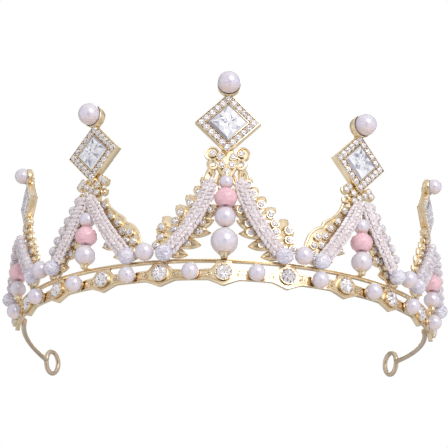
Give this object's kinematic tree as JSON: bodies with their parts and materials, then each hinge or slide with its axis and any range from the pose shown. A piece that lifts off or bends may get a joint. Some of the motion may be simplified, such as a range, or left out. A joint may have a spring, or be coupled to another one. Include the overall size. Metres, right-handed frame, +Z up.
{
  "type": "crown",
  "caption": "Open-back bridal crown: a cast lozenge band with openwork leaf spikes, crystal and pearl tops, bead strands, bead stacks and wire arms with end loops.",
  "frame": {"origin": "middle of the crown's bounding box in plan, on the surface the crown stands on", "axes": "+X to the wearer's left, seen from the front on the right; -Y is the front of the crown; +Z up along the spikes"},
  "size_m": [0.1774, 0.1328, 0.0842],
  "materials": {
    "gold_casting": "polished pale champagne gold plating",
    "steel_wire": "drawn wire, duller beige gold plating",
    "pearl": "imitation pearl, white with a lilac and rose lustre",
    "pink_bead": "opaque milky pink, faceted",
    "bicone_bead": "translucent pale pink, faceted",
    "crystal": "clear faceted, foiled back"
  },
  "bodies": {
    "crown": {"base_band": "gold_casting", "wire_arm_left": "steel_wire", "wire_arm_right": "steel_wire", "band_pearl_1": "pearl", "band_pearl_2": "pearl", "band_pearl_3": "pearl", "band_pearl_4": "pearl", "band_pearl_5": "pearl", "band_pearl_6": "pearl", "band_pearl_7": "pearl", "band_pearl_8": "pearl", "band_pearl_9": "pearl", "band_pearl_10": "pearl", "valley_pearl_front_left": "pearl", "valley_pearl_front_right": "pearl", "valley_pearl_side_left": "pearl", "valley_pearl_side_right": "pearl", "spike_frame_front": "gold_casting", "square_crystal_front": "crystal", "finial_pearl_front": "pearl", "cup_pearl_front": "pearl", "bead_strand_front_left": "bicone_bead", "bead_strand_front_right": "bicone_bead", "spike_frame_middle_left": "gold_casting", "square_crystal_middle_left": "crystal", "finial_pearl_middle_left": "pearl", "cup_pearl_middle_left": "pearl", "bead_strand_middle_left_left": "bicone_bead", "bead_strand_middle_left_right": "bicone_bead", "spike_frame_middle_right": "gold_casting", "square_crystal_middle_right": "crystal", "finial_pearl_middle_right": "pearl", "cup_pearl_middle_right": "pearl", "bead_strand_middle_right_left": "bicone_bead", "bead_strand_middle_right_right": "bicone_bead", "spike_frame_side_left": "gold_casting", "square_crystal_side_left": "crystal", "finial_pearl_side_left": "pearl", "cup_pearl_side_left": "pearl", "bead_strand_side_left_left": "bicone_bead", "bead_strand_side_left_right": "bicone_bead", "spike_frame_side_right": "gold_casting", "square_crystal_side_right": "crystal", "finial_pearl_side_right": "pearl", "cup_pearl_side_right": "pearl", "bead_strand_side_right_left": "bicone_bead", "bead_strand_side_right_right": "bicone_bead"},
    "stack_pearl_front": {"stack_pearl_front": "pearl"},
    "pink_bead_front": {"pink_bead_front": "pink_bead"},
    "top_pearl_front": {"top_pearl_front": "pearl"},
    "pink_bead_middle_left": {"pink_bead_middle_left": "pink_bead"},
    "top_pearl_middle_left": {"top_pearl_middle_left": "pearl"},
    "pink_bead_middle_right": {"pink_bead_middle_right": "pink_bead"},
    "top_pearl_middle_right": {"top_pearl_middle_right": "pearl"},
    "pink_bead_side_left": {"pink_bead_side_left": "pink_bead"},
    "pink_bead_side_right": {"pink_bead_side_right": "pink_bead"}
  },
  "joints": [
    {"name": "stack_pearl_front_spin", "type": "hinge", "parent": "crown", "child": "stack_pearl_front", "pos_m": [0, -0.05942, 0.02899], "axis": [0, 0, 1], "continuous": true},
    {"name": "pink_bead_front_spin", "type": "hinge", "parent": "crown", "child": "pink_bead_front", "pos_m": [0, -0.05942, 0.03614], "axis": [0, 0, 1], "continuous": true},
    {"name": "top_pearl_front_spin", "type": "hinge", "parent": "crown", "child": "top_pearl_front", "pos_m": [0, -0.05942, 0.04213], "axis": [0, 0, 1], "continuous": true},
    {"name": "pink_bead_middle_left_spin", "type": "hinge", "parent": "crown", "child": "pink_bead_middle_left", "pos_m": [-0.05024, -0.04308, 0.02624], "axis": [0, 0, 1], "continuous": true},
    {"name": "top_pearl_middle_left_spin", "type": "hinge", "parent": "crown", "child": "top_pearl_middle_left", "pos_m": [-0.05024, -0.04308, 0.03254], "axis": [0, 0, 1], "continuous": true},
    {"name": "pink_bead_middle_right_spin", "type": "hinge", "parent": "crown", "child": "pink_bead_middle_right", "pos_m": [0.04923, -0.0438, 0.02624], "axis": [0, 0, 1], "continuous": true},
    {"name": "top_pearl_middle_right_spin", "type": "hinge", "parent": "crown", "child": "top_pearl_middle_right", "pos_m": [0.04923, -0.0438, 0.03254], "axis": [0, 0, 1], "continuous": true},
    {"name": "pink_bead_side_left_spin", "type": "hinge", "parent": "crown", "child": "pink_bead_side_left", "pos_m": [-0.08046, -0.00266, 0.02493], "axis": [0, 0, 1], "continuous": true},
    {"name": "pink_bead_side_right_spin", "type": "hinge", "parent": "crown", "child": "pink_bead_side_right", "pos_m": [0.08046, -0.00266, 0.02493], "axis": [0, 0, 1], "continuous": true}
  ]
}
